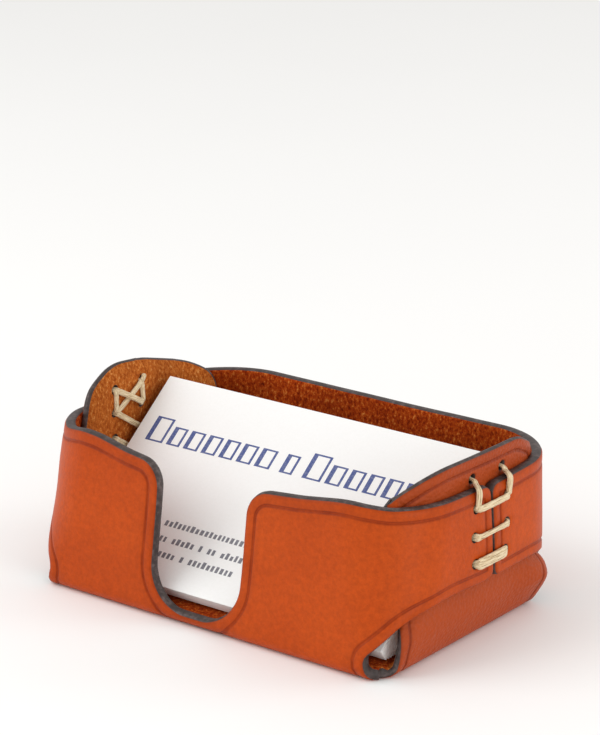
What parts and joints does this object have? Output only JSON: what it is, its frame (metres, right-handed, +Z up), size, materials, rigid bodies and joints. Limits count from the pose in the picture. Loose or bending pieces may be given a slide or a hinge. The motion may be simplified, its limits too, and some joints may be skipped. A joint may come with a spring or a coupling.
{
  "type": "desk business card holder",
  "caption": "Open desk tray for business cards, folded from one leather blank and laced at both ends, with a thumb notch in front and a pack of cards leaning in it.",
  "frame": {"origin": "centre of the underside that rests on the desk, at the middle of the overall length and depth", "axes": "+X along the long front to the user's right, +Y from the notched front to the back wall, +Z up"},
  "size_m": [0.1068, 0.0681, 0.0436],
  "materials": {
    "leather": "smooth tan vegetable-tanned leather, semi-matte, suede inside, dark painted edges",
    "lacing": "waxed flat cream thread",
    "card_stock": null
  },
  "bodies": {
    "tray": {"leather_body": "leather", "lacing_left": "lacing", "lacing_right": "lacing", "card_11": "card_stock", "card_12": "card_stock", "card_13": "card_stock", "card_14": "card_stock", "card_15": "card_stock", "card_16": "card_stock", "card_17": "card_stock"},
    "card_01": {"card_01": "card_stock"},
    "card_02": {"card_02": "card_stock"},
    "card_03": {"card_03": "card_stock"},
    "card_04": {"card_04": "card_stock"},
    "card_05": {"card_05": "card_stock"},
    "card_06": {"card_06": "card_stock"},
    "card_07": {"card_07": "card_stock"},
    "card_08": {"card_08": "card_stock"},
    "card_09": {"card_09": "card_stock"},
    "card_10": {"card_10": "card_stock"}
  },
  "joints": [
    {"name": "card_01_draw", "type": "slide", "parent": "tray", "child": "card_01", "axis": [0, 0.7771, 0.6293], "range_m": [0, 0.055]},
    {"name": "card_02_draw", "type": "slide", "parent": "tray", "child": "card_02", "axis": [0, 0.7771, 0.6293], "range_m": [0, 0.055]},
    {"name": "card_03_draw", "type": "slide", "parent": "tray", "child": "card_03", "axis": [0, 0.7771, 0.6293], "range_m": [0, 0.055]},
    {"name": "card_04_draw", "type": "slide", "parent": "tray", "child": "card_04", "axis": [0, 0.7771, 0.6293], "range_m": [0, 0.055]},
    {"name": "card_05_draw", "type": "slide", "parent": "tray", "child": "card_05", "axis": [0, 0.7771, 0.6293], "range_m": [0, 0.055]},
    {"name": "card_06_draw", "type": "slide", "parent": "tray", "child": "card_06", "axis": [0, 0.7771, 0.6293], "range_m": [0, 0.055]},
    {"name": "card_07_draw", "type": "slide", "parent": "tray", "child": "card_07", "axis": [0, 0.7771, 0.6293], "range_m": [0, 0.055]},
    {"name": "card_08_draw", "type": "slide", "parent": "tray", "child": "card_08", "axis": [0, 0.7771, 0.6293], "range_m": [0, 0.055]},
    {"name": "card_09_draw", "type": "slide", "parent": "tray", "child": "card_09", "axis": [0, 0.7826, 0.6225], "range_m": [0, 0.055]},
    {"name": "card_10_draw", "type": "slide", "parent": "tray", "child": "card_10", "axis": [0, 0.788, 0.6157], "range_m": [0, 0.055]}
  ]
}
